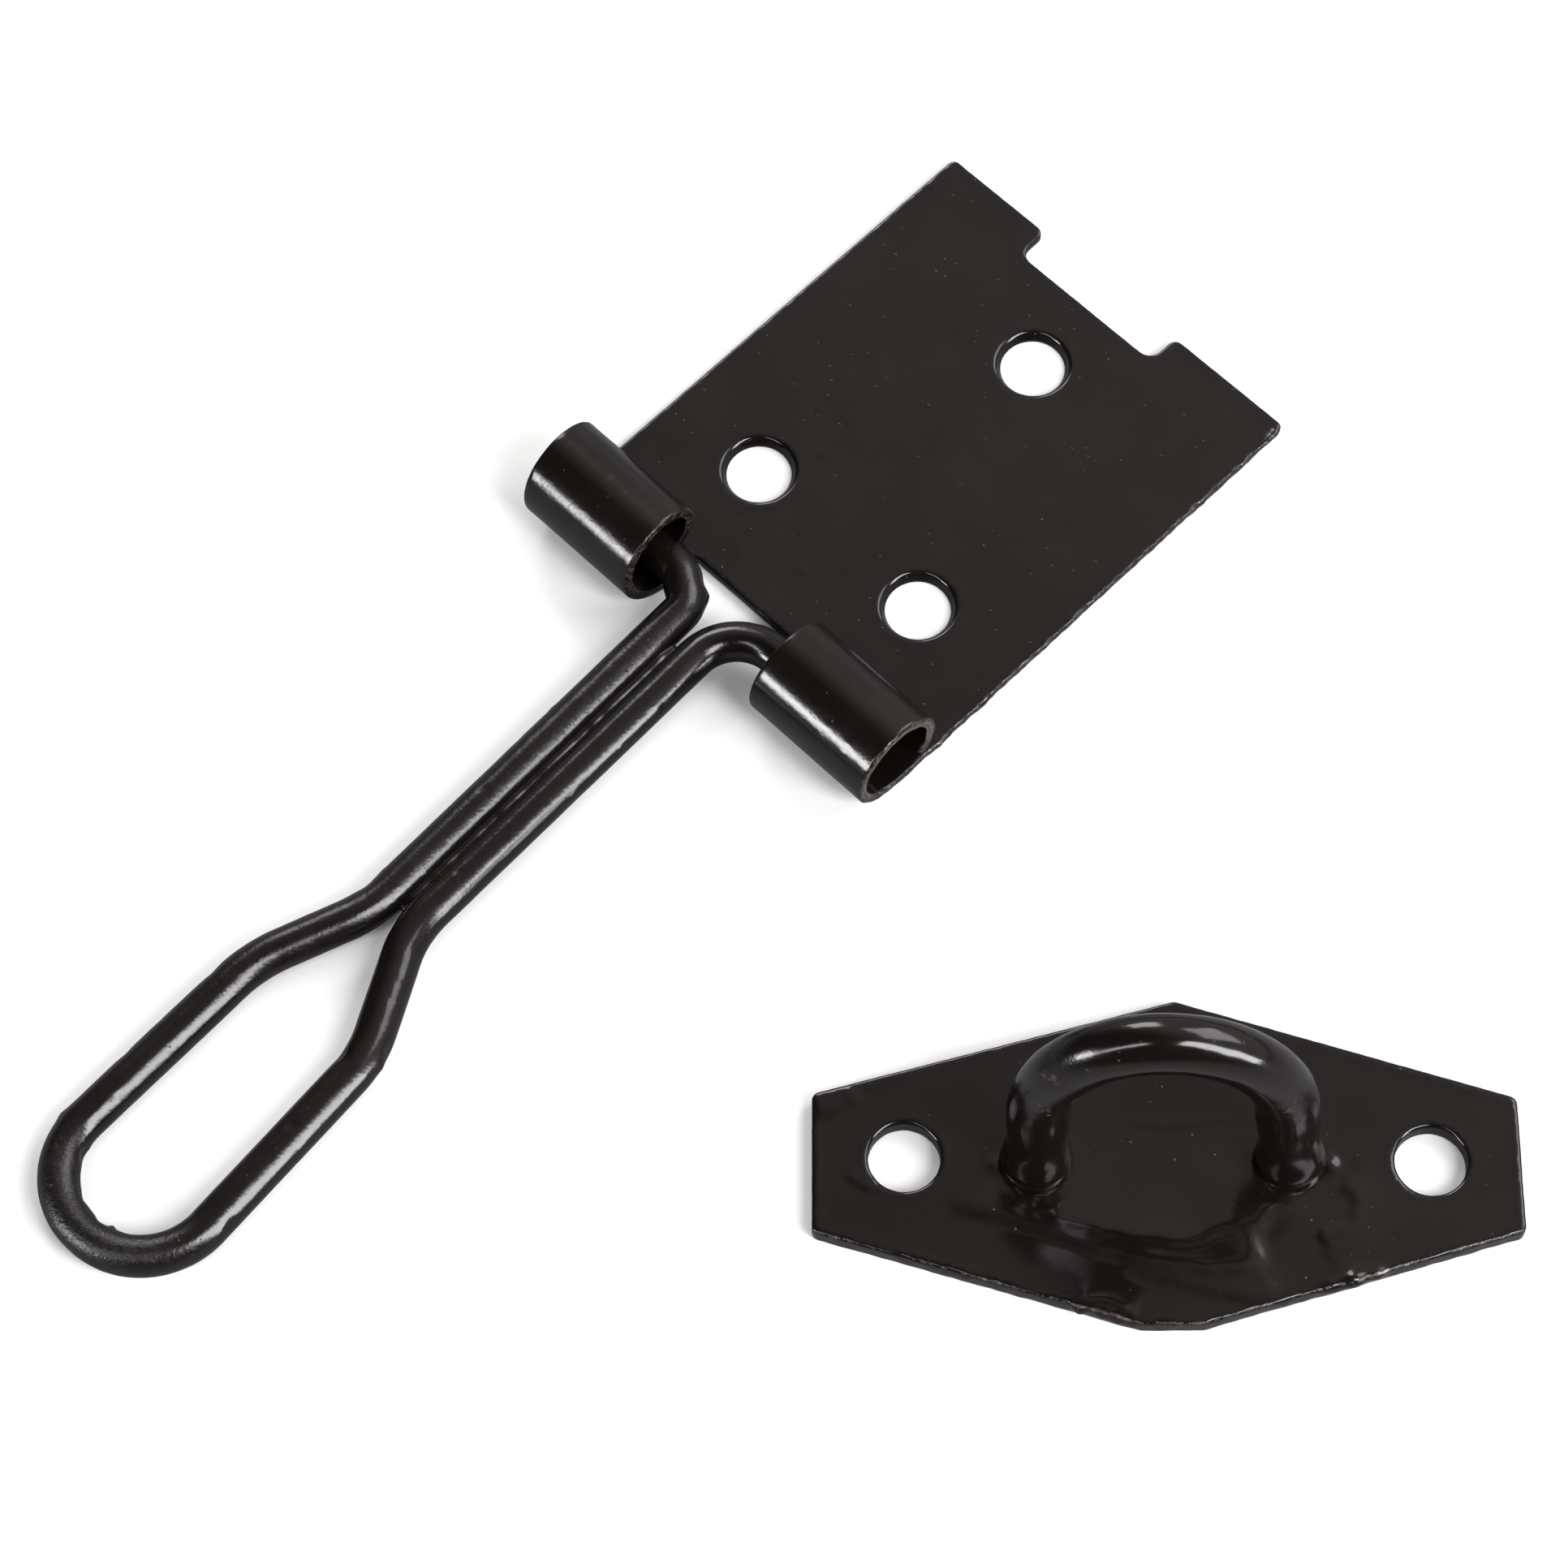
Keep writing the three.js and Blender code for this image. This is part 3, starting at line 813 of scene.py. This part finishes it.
def make_hasp(material):
    line = resampled(filleted(HASP_PATH, False), WIRE_STEP)
    insets = np.array([inset for inset, _ in CUT_END])[:, None]
    head = line[0] + (line[1] - line[0]) / WIRE_STEP * insets
    tail = line[-1] + (line[-2] - line[-1]) / WIRE_STEP * insets
    line = np.vstack([head, line[1:-1], tail[::-1]])
    along = np.gradient(line, axis=0)
    along /= np.linalg.norm(along, axis=1)[:, None]
    count = len(line)
    flat = np.zeros(count)
    centres = hasp_frame(np.column_stack([line, flat]))
    origin = hasp_frame(np.zeros((1, 3)))
    across = hasp_frame(np.column_stack([along[:, 1], -along[:, 0], flat])) - origin
    up = hasp_frame(np.tile([0, 0, 1.0], (count, 1))) - origin
    radii = np.full((count, WIRE_SIDES), WIRE_RADIUS)
    for i, (_, shrink) in enumerate(CUT_END):
        radii[i] -= shrink
        radii[-1 - i] -= shrink
    vertices, faces = tube(centres, across, up, radii, WIRE_SIDES)
    normals = normals_of(vertices, faces)
    peel = relief(vertices, WIRE_WAVES)
    lumps = [(hasp_frame(np.array([at]))[0], reach, rise) for at, reach, rise in WIRE_MARKS]
    for _ in range(WIRE_GRIT["count"]):
        spot = random.randrange(count)
        angle = random.uniform(0, 2 * math.pi)
        spoke = across[spot] * math.cos(angle) + up[spot] * math.sin(angle)
        rise = random.choice((-1, 1)) * random.uniform(*WIRE_GRIT["rise"])
        place = centres[spot] + spoke * WIRE_RADIUS
        lumps.append((place, random.uniform(*WIRE_GRIT["reach"]), rise))
    vertices = raise_lumps(vertices + normals * peel[:, None], normals, lumps)
    upper_leg = smooth(0.6, 2.2, vertices[:, 1]) * smooth(-92, -84, vertices[:, 0])
    loop_end = smooth(-104, -110, vertices[:, 0])
    rough = WIRE_ROUGH["upper_leg"] * upper_leg + WIRE_ROUGH["loop_end"] * loop_end
    make_piece(
        "wire_hasp_skin",
        vertices,
        faces,
        material,
        body="hasp",
        marks={"rough": WIRE_ROUGH["all"] + rough},
        nodes=["wire_hasp"],
    )


# ---------------------------------------------------------------------------
# Staple
# ---------------------------------------------------------------------------


def staple_frame(points):
    """Staple-plate coordinates, with X along the plate, in the CAD frame."""
    c, s = math.cos(STAPLE_TURN), math.sin(STAPLE_TURN)
    x = staple_at[0] + c * points[:, 0] - s * points[:, 1]
    y = staple_at[1] + s * points[:, 0] + c * points[:, 1]
    return np.column_stack([x, y, points[:, 2]])


FEET = [(LOOP_OFFSET[0] + side * LEG_SPACING / 2, LOOP_OFFSET[1]) for side in (-1, 1)]

# Where dip paint sagged and set: height of the step, its width, how far the thick
# side reaches back, and the front's line. The thick side is on the line's left.
LONG_FRONT = [(-21, -3.4), (-18.5, -4.8), (-14, -5.7), (-10.5, -7.1), (-6, -8.7), (-1, -10)]
LONG_FRONT += [(4, -10.8), (7.4, -10.4), (8.4, -9), (7.4, -7.2), (9, -5.2), (13, -4)]
UPPER_FRONT = [(-12.2, -3.6), (-10.6, -5.5), (-6, -7), (-2, -7.8)]
UPPER_FRONT += [(2.5, -8.1), (4.3, -6.9), (8, -6.1)]
SAGS = [
    (0.24, 2.4, 3.4, LONG_FRONT),
    (0.18, 1.9, 2.8, UPPER_FRONT),
    (0.16, 2.0, 3.0, [(-5, -10.6), (0, -11.5), (4, -12.7), (7.5, -13.4), (10.5, -12)]),
    (0.16, 1.6, 2.0, [(-32.0, 4.5), (-30.2, 4.7), (-28.8, 5.6), (-27.7, 7.0)]),
    (0.10, 0.8, 1.2, [(-29.2, -1.2), (-28.2, -2.2), (-26.8, -3.0)]),
    (0.20, 0.8, 1.2, [(-8.6, -13.9), (-6.8, -13.4), (-4.8, -13.9), (-3.4, -15.0)]),
    (0.16, 0.7, 1.0, [(-7.8, -14.7), (-5.6, -14.5), (-4.2, -15.1)]),
    (0.18, 1.6, 2.2, [(15.2, -2.2), (17.0, -3.6), (16.4, -6.0), (13.0, -7.2)]),
    (0.05, 0.5, 0.7, [(-3.2, 3.5), (0.4, 3.2), (3.4, 3.6), (6.4, 4.1)]),
    (0.09, 0.9, 1.4, [(-14.6, -2.6), (-13.4, -3.9), (-12.0, -4.4)]),
]
SAG_STEP = 0.4
SAG_WAVES = [(0.22, 1.7, 41)]
SAG_END_SHARE = 0.12
# Blobs left along the lower edges: x, y, height, reach and how far they stand out
EDGE_BLOBS = [
    (-8.2, -14.1, 1.3, 0.60, 0.42),
    (-6.4, -15.0, 1.2, 0.50, 0.38),
    (-5.0, -15.5, 1.2, 0.65, 0.60),
    (-3.6, -15.9, 0.9, 0.50, 0.50),
    (14.6, -12.3, 1.4, 0.95, 0.34),
    (16.6, -11.8, 1.7, 1.10, 0.55),
    (18.6, -11.1, 1.5, 0.85, 0.34),
    (10.2, -13.6, 1.1, 0.50, 0.16),
    (-18.5, -10.9, 1.0, 0.60, 0.12),
    (26.0, -8.8, 1.0, 0.50, 0.12),
]
# A blob beside each foot: how far outwards and down the plate, and its reach
FOOT_BLOB = {"outward": 3.6, "down": 0.6, "reach": 0.8, "rises": (0.12, 0.2)}

PLATE_CORNER = 0.8
PLATE_GRID = (0.36, 0.32)
PLATE_ROUNDING = 0.3
PLATE_WAVES = [(0.008, 7.0, 22), (0.002, 2.2, 23)]
WALL_WAVES = [(0.03, 0.9, 25)]
LOW_EDGE_WAVES = [(0.06, 1.4, 26)]
PLATE_WEAR = {"edge": 0.46, "lower": 0.7, "wall": 0.3}
PLATE_ROUGH = 0.05
# How far past the riveted end its cone reaches
CONE_CLEARANCE = 0.3


def sag(flat, height, width, tail, line):
    """The extra paint height at each vertex from one sagged front."""
    path = resampled(np.array(line, float), SAG_STEP)
    # Three passes of averaging take the corners off the front.
    for _ in range(3):
        path[1:-1] = (path[:-2] + 2 * path[1:-1] + path[2:]) / 4
    along = np.gradient(path, axis=0)
    along /= np.linalg.norm(along, axis=1)[:, None]
    offsets = flat[:, None, :2] - path[None, :, :]
    distances = np.linalg.norm(offsets, axis=2)
    closest = distances.argmin(1)
    rows = np.arange(len(flat))
    offset = offsets[rows, closest]
    side = along[closest, 0] * offset[:, 1] - along[closest, 1] * offset[:, 0]
    side = np.sign(side) * distances[rows, closest]
    wavy = side + relief(flat, SAG_WAVES)
    at = closest / (len(path) - 1)
    ends = smooth(0, SAG_END_SHARE, at) * smooth(0, SAG_END_SHARE, 1 - at)
    rise = smooth(-width / 2, width / 2, wavy)
    return height * rise * np.exp(-np.maximum(side, 0) / tail) * ends


def staple_blank():
    """The staple's plate before any paint."""
    corners = [(x, y, PLATE_CORNER) for x, y in STAPLE_CORNERS]
    loops = [resampled(filleted(corners, True), LOOP_STEP, True)]
    loops += [circle(at, STAPLE_HOLE_RADIUS, LOOP_STEP) for at in STAPLE_HOLES]
    loops += [circle(at, LEG_HOLE_RADIUS, LOOP_STEP) for at in FEET]
    reach = max(x for x, _ in STAPLE_CORNERS)
    height = max(abs(y) for _, y in STAPLE_CORNERS)
    candidates = grid((-reach, -height), (reach, height), PLATE_GRID)
    return sheet_blank(loops, candidates, STAPLE_THICKNESS, PLATE_ROUNDING)


def open_leg_holes(vertices, flat, sides):
    """Opens the back of each leg hole into a cone for the riveted end."""
    for x, y in FEET:
        from_leg = np.hypot(flat[:, 0] - x, flat[:, 1] - y)
        rim = RIVET["radius"] + CONE_CLEARANCE
        cone = np.clip(rim - from_leg, 0, 1) * RIVET["depth"]
        share = np.where(sides < 0, 1, 1 - flat[:, 2] / STAPLE_THICKNESS)
        vertices[:, 2] += np.where(sides > 0, 0, cone * share)


def staple_blobs():
    """Drops of paint along the plate's lower edges and beside the loop's feet."""
    blobs = [((x, y, z), reach, rise) for x, y, z, reach, rise in EDGE_BLOBS]
    for (x, y), rise in zip(FEET, FOOT_BLOB["rises"]):
        outward = math.copysign(FOOT_BLOB["outward"], x)
        place = (x + outward, y - FOOT_BLOB["down"], STAPLE_THICKNESS)
        blobs.append((place, FOOT_BLOB["reach"], rise))
    return blobs


def make_staple_plate(material):
    vertices, faces, sides, gap = staple_blank()
    flat = vertices.copy()
    bead = edge_bead(flat, gap, **PLATE_BEAD)
    paint = sum(sag(flat, *front) for front in SAGS)
    paint = (bead + relief(flat, PLATE_WAVES) + paint) * smooth(0, 0.4, gap)
    vertices[:, 2] += np.where(sides > 0, paint, 0)
    vertices[:, 2] += np.where(sides < 0, back_paint(flat, 24), 0)
    open_leg_holes(vertices, flat, sides)
    normals = normals_of(vertices, faces)
    wall = (gap < 0.2).astype(float)
    low_edge = smooth(-6.0, -7.0, flat[:, 1])
    ragged = wall * (relief(flat, WALL_WAVES) + low_edge * relief(flat, LOW_EDGE_WAVES))
    vertices = raise_lumps(vertices + normals * ragged[:, None], normals, staple_blobs())
    rim = bell(gap - 0.12, 0.13) * (sides > 0)
    lower = smooth(-6.0, -7.2, flat[:, 1])
    patchy = 0.75 + 0.5 * ripple(flat, 3.5, 27)
    wear = rim * (PLATE_WEAR["edge"] + PLATE_WEAR["lower"] * lower)
    wear = patchy * np.maximum(wear, (sides == 0) * PLATE_WEAR["wall"])
    rough = np.full(len(wear), PLATE_ROUGH)
    make_piece(
        "staple_plate_skin",
        staple_frame(vertices),
        faces,
        material,
        body="staple",
        marks={"wear": wear, "rough": rough},
        nodes=["staple_plate"],
    )


LOOP_SIDES = 64
LOOP_POINT_STEP = 0.25
LEG_POINT_STEP = 0.1
CROWN_POINTS = 120
# Heights of the rings inside the plate, where each leg ends in a rivet
STUB = [0.1, 0.16, 0.3, 0.6, 0.9, 0.98, 1.1, 1.5, 1.9]
ABOVE_PLATE = 1.6
NECK_PAINT = 0.2
RIVET_ROUNDING = 0.12
# A ring of paint round each foot: how thick, and how high
FOOT_RING = {"thickness": 0.4, "height": 0.5}
# Thick and thin places on the legs: how much, at what height, and how far each spreads
LEG_SWELLS = [(0.34, 3.4, 1.9), (-0.16, 7.4, 2.0), (0.1, 13, 3.0)]
LOOP_WAVES = [(0.05, 4.0, 31), (0.02, 1.4, 32)]
SHOULDER = {"at": 10.5, "spread": 3.0, "low": 15, "high": 20, "wear": 0.9}
LOOP_ROUGH = {"all": 0.1, "shoulder": 0.7}


def loop_line():
    """The loop's centre line in its own plane: sideways and height."""
    height = CROWN["top"] - CROWN["shoulder"]
    half = LEG_SPACING / 2
    rows = []
    for z in np.arange(STAPLE_THICKNESS, CROWN["shoulder"], LEG_POINT_STEP):
        t = (z - STAPLE_THICKNESS) / (CROWN["shoulder"] - STAPLE_THICKNESS)
        rows.append((half + (CROWN["half_width"] - half) * t, z))
    for a in np.linspace(0, math.pi / 2, CROWN_POINTS):
        rows.append((CROWN["half_width"] * math.cos(a), CROWN["shoulder"] + height * math.sin(a)))
    right = np.array(rows)
    left = right[::-1][1:] * np.array((-1, 1))
    line = np.vstack([right, left])
    line[:, 0] += LOOP_LEAN * (line[:, 1] - STAPLE_THICKNESS)
    return line


def loop_radii(z):
    """The loop's oval section at each point of its line, from the rivets up."""
    angles = np.arange(LOOP_SIDES) * 2 * math.pi / LOOP_SIDES
    oval = smooth(2.0, 6.0, z)[:, None]
    waist = RIVET["neck"] + NECK_PAINT
    in_plane, out_plane = (waist + (radius - waist) * oval for radius in LOOP_RADII)
    radii = 1 / np.sqrt((np.cos(angles) / in_plane) ** 2 + (np.sin(angles) / out_plane) ** 2)
    foot = np.clip(1 - (z - STAPLE_THICKNESS) / FOOT_RING["height"], 0, 1)
    extra = FOOT_RING["thickness"] * foot**2
    extra += sum(rise * bell(z - at, spread) for rise, at, spread in LEG_SWELLS)
    radii += (extra * (z > ABOVE_PLATE))[:, None]
    rivet_top = RIVET["flush"] + RIVET["depth"]
    cone = np.clip((rivet_top - z) / RIVET["depth"], 0, 1)
    rivet = RIVET["neck"] + (RIVET["radius"] - RIVET["neck"]) * cone
    radii = np.where((z < rivet_top)[:, None], rivet[:, None], radii)
    radii[0] -= RIVET_ROUNDING
    radii[-1] -= RIVET_ROUNDING
    return radii


def make_staple_loop(material):
    half = np.full(len(STUB), LEG_SPACING / 2)
    right = np.column_stack([half, STUB])
    left = np.column_stack([-half, STUB])[::-1]
    line = np.vstack([right, resampled(loop_line(), LOOP_POINT_STEP), left])
    count = len(line)
    along = np.gradient(line, axis=0)
    along /= np.linalg.norm(along, axis=1)[:, None]
    sideways = line[:, 0] + LOOP_OFFSET[0]
    centres = np.column_stack([sideways, np.full(count, LOOP_OFFSET[1]), line[:, 1]])
    across = np.column_stack([along[:, 1], np.zeros(count), -along[:, 0]])
    up = np.tile([0, 1.0, 0], (count, 1))
    vertices, faces = tube(centres, across, up, loop_radii(line[:, 1]), LOOP_SIDES)
    normals = normals_of(vertices, faces)
    peel = smooth(2.3, 4.0, vertices[:, 2]) * relief(vertices, LOOP_WAVES)
    vertices = vertices + normals * peel[:, None]
    shoulder = bell(np.abs(vertices[:, 0]) - SHOULDER["at"], SHOULDER["spread"])
    shoulder = shoulder * smooth(SHOULDER["low"], SHOULDER["high"], vertices[:, 2])
    rubbed = smooth(-0.1, 0.6, ripple(vertices, 2.2, 33)) * smooth(0.5, -1.0, vertices[:, 1])
    wear = SHOULDER["wear"] * shoulder * rubbed
    rough = LOOP_ROUGH["all"] + LOOP_ROUGH["shoulder"] * shoulder
    make_piece(
        "staple_loop_skin",
        staple_frame(vertices),
        faces,
        material,
        body="staple",
        marks={"wear": wear, "rough": rough},
        nodes=["staple_loop"],
    )


make_hinge_plate(enamel("hinge_enamel"))
wire_paint = enamel("wire_enamel")
make_hasp(wire_paint)
make_paint_web(wire_paint)
make_staple_plate(enamel("staple_enamel"))
make_staple_loop(enamel("loop_enamel"))


# ---------------------------------------------------------------------------
# Stage, lights and camera
# ---------------------------------------------------------------------------

# The floor's half width in metres, its paper's grain in mm, and the strength of a painted glow, seen
# by the camera alone, that lightens the floor's shadows
FLOOR = {"half": 2.0, "grain": 60.0, "glow": 0.04}
PAPER = [(0.86, 0.86, 0.865, 1), (0.88, 0.875, 0.87, 1)]
SHADOW_LIFT_GLOW = (1.0, 0.99, 0.98, 1)
# Painted reflection: how light the floor is in the paint's reflections, darker than the floor the
# camera sees: near the part, and far from it
FLOOR_IN_GLOSS = {"near": 0.08, "far": 0.35, "light": 0.24, "dark": 0.06}


def make_floor():
    half = FLOOR["half"]
    corners = [(-half, -half, 0), (half, -half, 0), (half, half, 0), (-half, half, 0)]
    mesh = bpy.data.meshes.new("floor")
    mesh.from_pydata(corners, [], [(0, 1, 2, 3)])
    floor = bpy.data.objects.new("floor", mesh)
    bpy.context.scene.collection.objects.link(floor)
    g = Graph("floor_paper")
    where = g.add("ShaderNodeTexCoord").outputs["Object"]
    tone = g.blend(g.grain(where, FLOOR["grain"]), *PAPER)
    paper = g.add("ShaderNodeBsdfDiffuse", Color=tone).outputs[0]
    # Painted reflection: glossy rays see a darker floor, lighter near the part and darker far from it
    apart = g.add("ShaderNodeVectorMath", {"operation": "LENGTH"}, _0=where).outputs["Value"]
    reflected_floor_tone = g.ramp(apart, *(FLOOR_IN_GLOSS[key] for key in ("near", "far", "light", "dark")))
    dim = g.add("ShaderNodeBsdfDiffuse", Color=reflected_floor_tone).outputs[0]
    # Painted light: an emission that only camera rays see, lifting the floor's shadows
    glow = g.add("ShaderNodeEmission", Color=SHADOW_LIFT_GLOW, Strength=FLOOR["glow"]).outputs[0]
    lit = g.add("ShaderNodeAddShader", _0=paper, _1=glow).outputs[0]
    rays = g.add("ShaderNodeLightPath").outputs
    seen = g.add("ShaderNodeMixShader", _0=rays["Is Camera Ray"], _1=paper, _2=lit).outputs[0]
    mixed = g.add("ShaderNodeMixShader", _0=rays["Is Glossy Ray"], _1=seen, _2=dim).outputs[0]
    g.add("ShaderNodeOutputMaterial", Surface=mixed)
    mesh.materials.append(g.material)


def area_light(name, size, power):
    lamp = bpy.data.lights.new(name, "AREA")
    lamp.shape = "RECTANGLE"
    lamp.size, lamp.size_y = size
    lamp.energy = power
    holder = bpy.data.objects.new(name, lamp)
    bpy.context.scene.collection.objects.link(holder)
    return holder


def softbox(name, direction, distance, size, power):
    """A rectangular light that faces the object from a direction."""
    holder = area_light(name, size, power)
    towards = Vector(direction).normalized()
    holder.location = aim + towards * distance
    holder.rotation_euler = towards.to_track_quat("Z", "Y").to_euler()


def strip_light(name, low, high, width, power):
    """A long softbox that leans from one direction to another."""
    ends = [Vector(end) * STRIP_DISTANCE for end in (low, high)]
    length = (ends[1] - ends[0]).length
    holder = area_light(name, (length, width), power)
    middle = (ends[0] + ends[1]) / 2
    along = (ends[1] - ends[0]).normalized()
    facing = (middle - along * middle.dot(along)).normalized()
    axes = Matrix((along, facing.cross(along), facing)).transposed()
    holder.matrix_world = Matrix.Translation(aim + middle) @ axes.to_4x4()


# The camera's angles in degrees, and the rest in mm but for the clip in metres
CAMERA = {"azimuth": -43.928, "elevation": 63.719, "roll": -1.430}
CAMERA_DISTANCE = 434.586
CAMERA_LENS = 105.0
CAMERA_SENSOR = 36.0
CAMERA_CLIP = 0.01
aim = Vector((-34.71, -14.735, 0)) * MM


def make_camera():
    azimuth, elevation, roll = (math.radians(angle) for angle in CAMERA.values())
    level = Vector((math.sin(azimuth), -math.cos(azimuth), 0))
    back = level * math.cos(elevation) + Vector((0, 0, math.sin(elevation)))
    right = Vector((0, 0, 1)).cross(back).normalized()
    up = back.cross(right)
    turned = right * math.cos(roll) + up * math.sin(roll)
    up = up * math.cos(roll) - right * math.sin(roll)
    data = bpy.data.cameras.new("camera")
    data.lens = CAMERA_LENS
    data.sensor_width = CAMERA_SENSOR
    data.clip_start = CAMERA_CLIP
    camera = bpy.data.objects.new("camera", data)
    axes = Matrix((turned, up, back)).transposed()
    camera.matrix_world = Matrix.Translation(aim + back * CAMERA_DISTANCE * MM) @ axes.to_4x4()
    bpy.context.scene.collection.objects.link(camera)
    bpy.context.scene.camera = camera


STRIP_DISTANCE = 0.9
LEFT_STRIP = {"low": (-0.90, 0.24, 0.33), "high": (-0.44, -0.18, 0.88), "width": 0.11, "power": 2.0}
RIGHT_STRIP = {"low": (0.317, -0.95, 0.03), "high": (-0.10, -0.50, 0.86), "width": 0.24, "power": 10.0}
KNUCKLE_CARD = {"direction": (-0.90, 0.33, 0.29), "distance": 0.9, "size": (0.24, 0.22), "power": 3.8}
KEY_SOFTBOX = {"direction": (0.78, -0.22, 0.72), "distance": 1.5, "size": (1.1, 0.9), "power": 12}
SIDE_SOFTBOX = {"direction": (0.52, 0.80, 0.66), "distance": 1.5, "size": (0.55, 0.55), "power": 6.5}

# Where the studio's dark side blends into its light side, and how light each is
WORLD = {"low": -0.1, "high": 0.5, "dark": 0.03, "light": 0.5}
WORLD_COLOUR = (1.0, 0.95, 0.91, 1)


def make_world():
    """A dim studio, lighter on the +X side."""
    world = bpy.data.worlds.new("studio")
    world.use_nodes = True
    tree = world.node_tree
    backdrop = tree.nodes["Background"]
    backdrop.inputs["Color"].default_value = WORLD_COLOUR
    where = tree.nodes.new("ShaderNodeTexCoord")
    axes = tree.nodes.new("ShaderNodeSeparateXYZ")
    ramp = tree.nodes.new("ShaderNodeMapRange")
    ramp.interpolation_type = "SMOOTHSTEP"
    for socket, value in zip(ramp.inputs[1:5], WORLD.values()):
        socket.default_value = value
    tree.links.new(where.outputs["Generated"], axes.inputs[0])
    tree.links.new(axes.outputs["X"], ramp.inputs[0])
    tree.links.new(ramp.outputs[0], backdrop.inputs["Strength"])
    bpy.context.scene.world = world


make_floor()
make_camera()
strip_light("left_strip", **LEFT_STRIP)
softbox("knuckle_card", **KNUCKLE_CARD)
strip_light("right_strip", **RIGHT_STRIP)
softbox("key_softbox", **KEY_SOFTBOX)
softbox("side_softbox", **SIDE_SOFTBOX)
make_world()
bpy.context.scene.view_settings.view_transform = "Standard"
